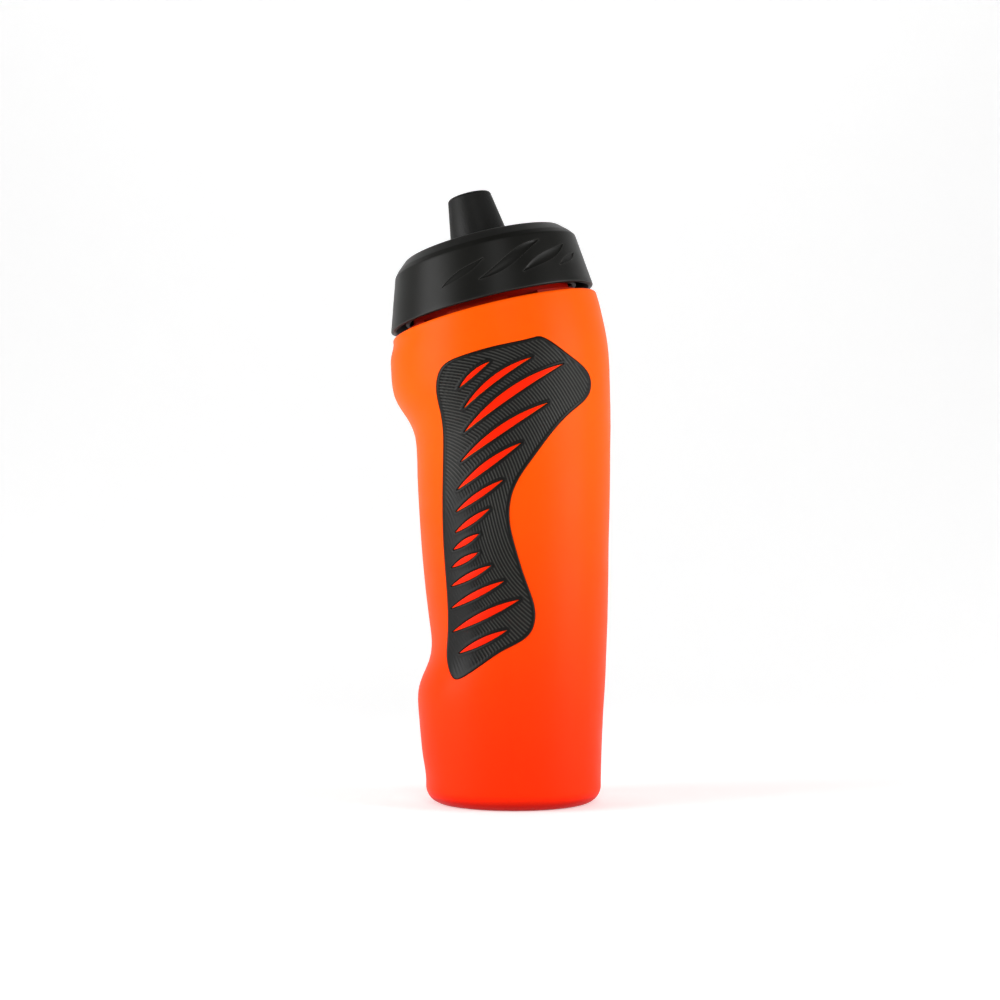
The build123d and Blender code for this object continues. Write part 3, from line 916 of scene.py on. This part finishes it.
lid_look, _, lid_shader, _ = moulded(
    "black polypropylene", LID_COLOUR, LID_RUBBED_COLOUR, 0.40, 3200.0, 0.02 * MM, 0.15, 0.5
)
lid_shader.inputs["Specular IOR Level"].default_value = 0.13
place("screw_lid", lid_mesh(), lid_look, "lid", "lid")

# --- Nozzle core --------------------------------------------------------------
# A stiff black polypropylene tube with a flange, injection moulded. It is pushed
# up through the deck from below and carries the soft nozzle.
CORE_COLOUR = (0.02, 0.02, 0.02, 1)
CORE_RUBBED_COLOUR = (0.06, 0.06, 0.06, 1)
core_look, _, _, _ = moulded(
    "core polypropylene", CORE_COLOUR, CORE_RUBBED_COLOUR, 0.35, 2600.0, 0.01 * MM, 0.1, 0.3
)
paint("nozzle_core", core_look)

# --- Valve --------------------------------------------------------------------
# A silicone disc on top of the core, crossed by two slits that open under
# pressure. It is a little see-through at its thin web.
VALVE_COLOUR = (0.09, 0.09, 0.09, 1)
VALVE_RUBBED_COLOUR = (0.16, 0.16, 0.16, 1)
valve_look, _, valve_shader, _ = moulded(
    "valve silicone", VALVE_COLOUR, VALVE_RUBBED_COLOUR, 0.38, 2400.0, 0.01 * MM, 0.1, 0.2
)
valve_shader.inputs["Subsurface Weight"].default_value = 0.2
valve_shader.inputs["Subsurface Scale"].default_value = 1.0 * MM
paint("valve_ring", valve_look)
for number in range(1, 5):
    paint(f"valve_petal_{number}", valve_look)

# --- Nozzle -------------------------------------------------------------------
# A soft black sleeve pushed over the core, with a coarser matte grain than the
# lid's, and a lip that holds the valve down.
NOZZLE_COLOUR = (0.007, 0.007, 0.0065, 1.0)
NOZZLE_RUBBED_COLOUR = (0.05, 0.05, 0.05, 1)
nozzle_look, _, nozzle_shader, _ = moulded(
    "nozzle rubber", NOZZLE_COLOUR, NOZZLE_RUBBED_COLOUR, 0.5, 1700.0, 0.12 * MM, 0.3, 0.4
)
nozzle_shader.inputs["Specular IOR Level"].default_value = 0.14
paint("nozzle", nozzle_look)

# --- Stage --------------------------------------------------------------------
# A plain pale floor that runs up into a backdrop, soft light from both sides and
# above, and the camera level with the bottle's waist.
FLOOR_COLOUR = (0.9, 0.9, 0.9, 1.0)
FLOOR_GLOW = 0.38
SKY_LIGHT, SKY_SEEN = 0.07, 0.9
CAMERA_PLACE = (-0.0052, -0.636, 0.0837)
CAMERA_TILT = 2.05
CAMERA_LENS = 64.5


def backdrop():
    """A sweep: flat floor, a quarter-round, and an upright back."""
    form = bmesh.new()
    side, front, back, bend, top = 3.0, -3.0, 1.2, 0.8, 3.0
    profile = [(front, 0.0), (back - bend, 0.0)]
    for k in range(1, 17):
        angle = math.pi / 2 * k / 16
        profile.append((back - bend + bend * math.sin(angle), bend - bend * math.cos(angle)))
    profile.append((back, top))
    rows = [[form.verts.new((x, y, z)) for x in (-side, side)] for y, z in profile]
    for low_row, high_row in zip(rows, rows[1:]):
        form.faces.new((low_row[0], low_row[1], high_row[1], high_row[0]))
    mesh = bpy.data.meshes.new("backdrop")
    form.to_mesh(mesh)
    form.free()
    mesh.polygons.foreach_set("use_smooth", [True] * len(mesh.polygons))
    sweep = bpy.data.objects.new("backdrop", mesh)
    bpy.context.collection.objects.link(sweep)
    paper = bpy.data.materials.new("backdrop paper")
    paper.use_nodes = True
    nodes, links = paper.node_tree.nodes, paper.node_tree.links
    shader = nodes["Principled BSDF"]
    shader.inputs["Base Color"].default_value = FLOOR_COLOUR
    shader.inputs["Roughness"].default_value = 0.9
    shader.inputs["Specular IOR Level"].default_value = 0.1
    shader.inputs["Emission Color"].default_value = (1.0, 1.0, 1.0, 1.0)
    shader.inputs["Emission Strength"].default_value = FLOOR_GLOW
    grain = nodes.new("ShaderNodeTexNoise")
    grain.inputs["Scale"].default_value = 900.0
    bump = nodes.new("ShaderNodeBump")
    bump.inputs["Strength"].default_value = 0.05
    bump.inputs["Distance"].default_value = 0.1 * MM
    links.new(grain.outputs["Fac"], bump.inputs["Height"])
    links.new(bump.outputs["Normal"], shader.inputs["Normal"])
    mesh.materials.append(paper)


def soft_box(name, where, size, power):
    """A square soft light aimed at the bottle's middle."""
    lamp = bpy.data.lights.new(name, "AREA")
    lamp.size = size
    lamp.energy = power
    stand = bpy.data.objects.new(name, lamp)
    bpy.context.collection.objects.link(stand)
    stand.location = where
    aim = (whole[0] + whole[1]) / 2 - Vector(where)
    stand.rotation_euler = aim.to_track_quat("-Z", "Y").to_euler()


def studio():
    """The backdrop, the lights, a sky that looks pale but lights little, and the camera."""
    backdrop()
    soft_box("left box", (-0.90, -0.32, 0.30), 0.55, 10.0)
    soft_box("right box", (0.92, -0.30, 0.28), 0.55, 8.5)
    soft_box("front box", (0.10, -0.90, 0.65), 0.35, 2.2)
    world = bpy.data.worlds.new("studio")
    world.use_nodes = True
    sky = world.node_tree.nodes["Background"]
    sky.inputs["Color"].default_value = (1.0, 1.0, 1.0, 1.0)
    sky.inputs["Strength"].default_value = SKY_LIGHT
    seen = world.node_tree.nodes.new("ShaderNodeBackground")
    seen.inputs["Strength"].default_value = SKY_SEEN
    ray = world.node_tree.nodes.new("ShaderNodeLightPath")
    either = world.node_tree.nodes.new("ShaderNodeMixShader")
    links = world.node_tree.links
    links.new(ray.outputs["Is Camera Ray"], either.inputs["Fac"])
    links.new(sky.outputs["Background"], either.inputs[1])
    links.new(seen.outputs["Background"], either.inputs[2])
    links.new(either.outputs["Shader"], world.node_tree.nodes["World Output"].inputs["Surface"])
    bpy.context.scene.world = world
    bpy.context.scene.view_settings.view_transform = "Standard"
    lens = bpy.data.cameras.new("camera")
    lens.lens = CAMERA_LENS
    camera = bpy.data.objects.new("camera", lens)
    bpy.context.collection.objects.link(camera)
    camera.location = CAMERA_PLACE
    camera.rotation_euler = (math.radians(90 + CAMERA_TILT), 0, 0)
    bpy.context.scene.camera = camera


studio()
